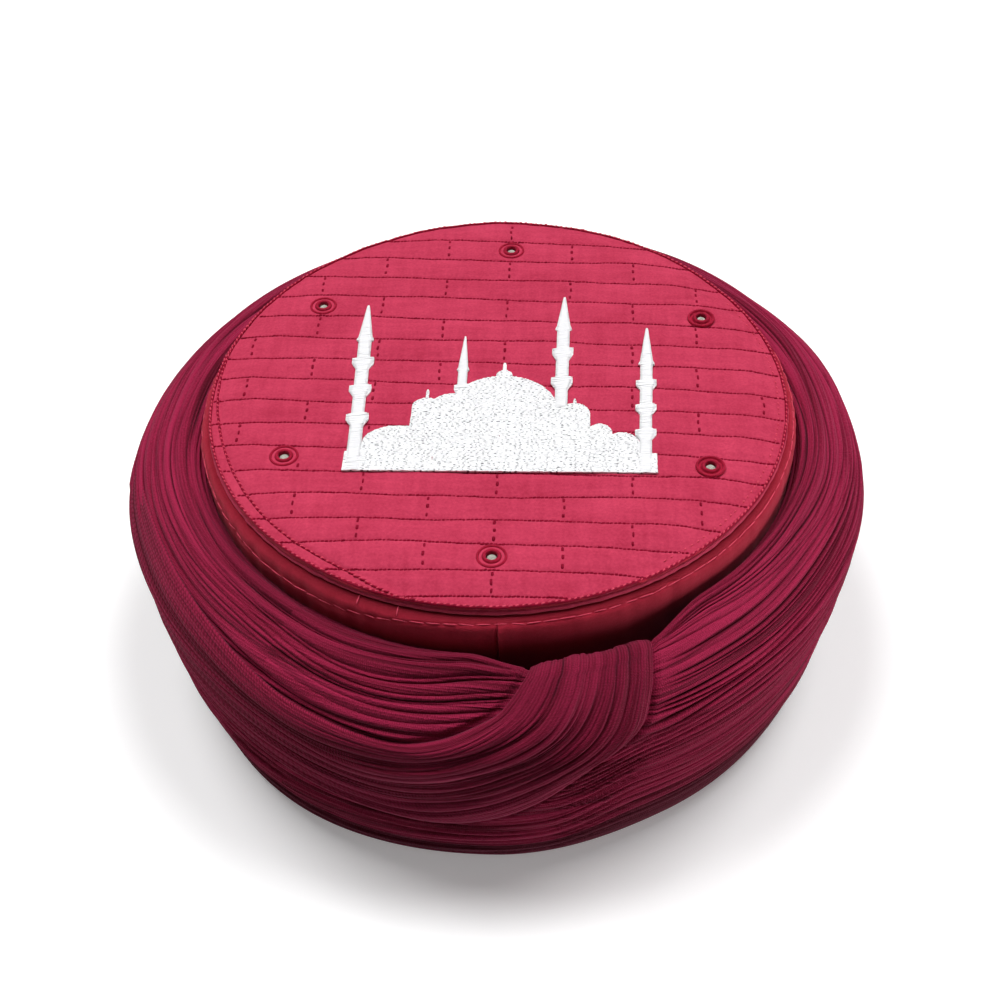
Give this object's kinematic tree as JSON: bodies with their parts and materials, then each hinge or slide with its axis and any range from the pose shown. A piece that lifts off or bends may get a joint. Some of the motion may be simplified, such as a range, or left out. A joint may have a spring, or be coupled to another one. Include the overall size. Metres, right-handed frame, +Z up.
{
  "type": "turban",
  "caption": "Ready-wound turban: a stiff cap with a flat quilted crown, an embroidered mosque silhouette and pierced eyelets, wound with pleated cloth that crosses over itself at the front.",
  "frame": {"origin": "middle of the rim that the hat stands on, at the floor", "axes": "+Z up through the crown, -Y the front with the crossing a little to its right, +X to the right as seen from the front"},
  "size_m": [0.2509, 0.2537, 0.1052],
  "materials": {
    "crown_cotton": "matte smooth cotton",
    "band_cotton": "matte smooth cotton",
    "wrap_gauze": "matte fine ribbed gauze",
    "pale_buckram": "matte stiff interlining",
    "white_thread": "satin stitched thread",
    "red_thread": "satin stitched thread"
  },
  "bodies": {
    "root": {"crown_top": "crown_cotton", "crown_stiffener": "pale_buckram", "crown_piping": "red_thread", "crown_band": "band_cotton", "eyelet_1": "red_thread", "eyelet_2": "red_thread", "eyelet_3": "red_thread", "eyelet_4": "red_thread", "eyelet_5": "red_thread", "eyelet_6": "red_thread", "mosque_embroidery": "white_thread", "wrap_body": "wrap_gauze", "wrap_crossing": "wrap_gauze"}
  },
  "joints": []
}
